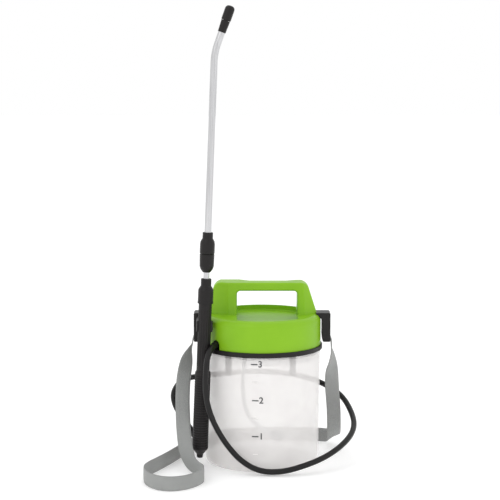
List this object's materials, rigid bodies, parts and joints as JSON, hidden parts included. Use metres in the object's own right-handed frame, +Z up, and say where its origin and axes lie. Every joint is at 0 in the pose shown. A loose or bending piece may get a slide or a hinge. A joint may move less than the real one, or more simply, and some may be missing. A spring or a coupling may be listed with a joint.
{
  "type": "battery shoulder sprayer",
  "caption": "Battery sprayer: milky litre-marked tank, green pump lid with carrying handle, shoulder strap, hose and telescopic wand with an adjustable nozzle",
  "frame": {"origin": "centre of the tank's underside, on the ground", "axes": "+Z up, the carrying handle runs along X, the wand and the litre scale are on the -Y side"},
  "size_m": [0.2987, 0.2771, 0.638],
  "materials": {
    "tank_plastic": "milky, lets light through",
    "green_plastic": "satin moulded",
    "black_plastic": "moulded",
    "soft_rubber": "soft",
    "grey_plastic": "moulded",
    "steel": "plated",
    "motor_steel": "drawn can",
    "aluminium": "satin drawn tube",
    "cell_wrap": "printed sleeve",
    "brass": "turned",
    "clear_tube": "soft tubing",
    "hose_black": "extruded",
    "webbing": "woven"
  },
  "bodies": {
    "tank": {"tank": "tank_plastic"},
    "lid": {"neck_seal": "soft_rubber", "lid_base": "black_plastic", "cover": "green_plastic", "handle_back": "green_plastic", "cover_screws": "steel", "handle_screws": "steel", "battery_cells": "cell_wrap", "battery_tray": "black_plastic", "battery_contacts": "steel", "power_switch": "black_plastic", "pump_housing": "grey_plastic", "pump_cover": "grey_plastic", "motor": "motor_steel", "motor_bracket": "black_plastic", "bracket_screws": "steel", "suction_barb": "grey_plastic", "vent_valve": "soft_rubber", "strap_lug_left": "black_plastic", "strap_lug_right": "black_plastic", "grip_sleeve": "soft_rubber", "wand_stem": "black_plastic", "wand_tail": "black_plastic", "collar_nut": "black_plastic", "inner_tube": "aluminium", "stem_guide": "grey_plastic", "wand_clip": "black_plastic", "suction_tube": "clear_tube", "suction_filter": "grey_plastic", "delivery_tube": "clear_tube", "hose_fitting": "black_plastic", "hose_sleeve": "soft_rubber", "hose_elbow": "black_plastic", "spray_hose": "hose_black", "shoulder_strap": "webbing"},
    "battery_door": {"battery_door": "green_plastic"},
    "switch_rocker": {"switch_rocker": "grey_plastic"},
    "pump_rotor": {"pump_rotor": "steel"},
    "wand_tube": {"outer_tube": "aluminium", "lock_body": "black_plastic", "tube_seal": "soft_rubber", "nozzle_body": "black_plastic", "swirl_core": "brass"},
    "lock_nut": {"lock_nut": "black_plastic"},
    "nozzle_cap": {"nozzle_cap": "black_plastic"}
  },
  "joints": [
    {"name": "lid_lift", "type": "slide", "parent": "tank", "child": "lid", "axis": [0, 0, 1], "range_m": [0, 0.17]},
    {"name": "battery_door_hinge", "type": "hinge", "parent": "lid", "child": "battery_door", "pos_m": [-0.0535, 0.02884, 0.21384], "axis": [-1, 0, 0], "range_deg": [0, 80]},
    {"name": "switch_rock", "type": "hinge", "parent": "lid", "child": "switch_rocker", "pos_m": [0.057, 0.02001, 0.23088], "axis": [-1, 0, 0], "range_deg": [0, 14]},
    {"name": "pump_spin", "type": "hinge", "parent": "lid", "child": "pump_rotor", "pos_m": [0, -0.01, 0.1912], "axis": [1, 0, 0], "continuous": true},
    {"name": "wand_extend", "type": "slide", "parent": "lid", "child": "wand_tube", "axis": [0.0393, 0, 0.9992], "range_m": [0, 0.19]},
    {"name": "lock_twist", "type": "hinge", "parent": "wand_tube", "child": "lock_nut", "pos_m": [-0.0761, -0.056, 0.29079], "axis": [0.0393, 0, 0.9992], "range_deg": [0, 120]},
    {"name": "nozzle_turn", "type": "hinge", "parent": "wand_tube", "child": "nozzle_cap", "pos_m": [-0.05512, -0.056, 0.60202], "axis": [0.3379, 0, 0.9412], "range_deg": [0, 270]}
  ]
}
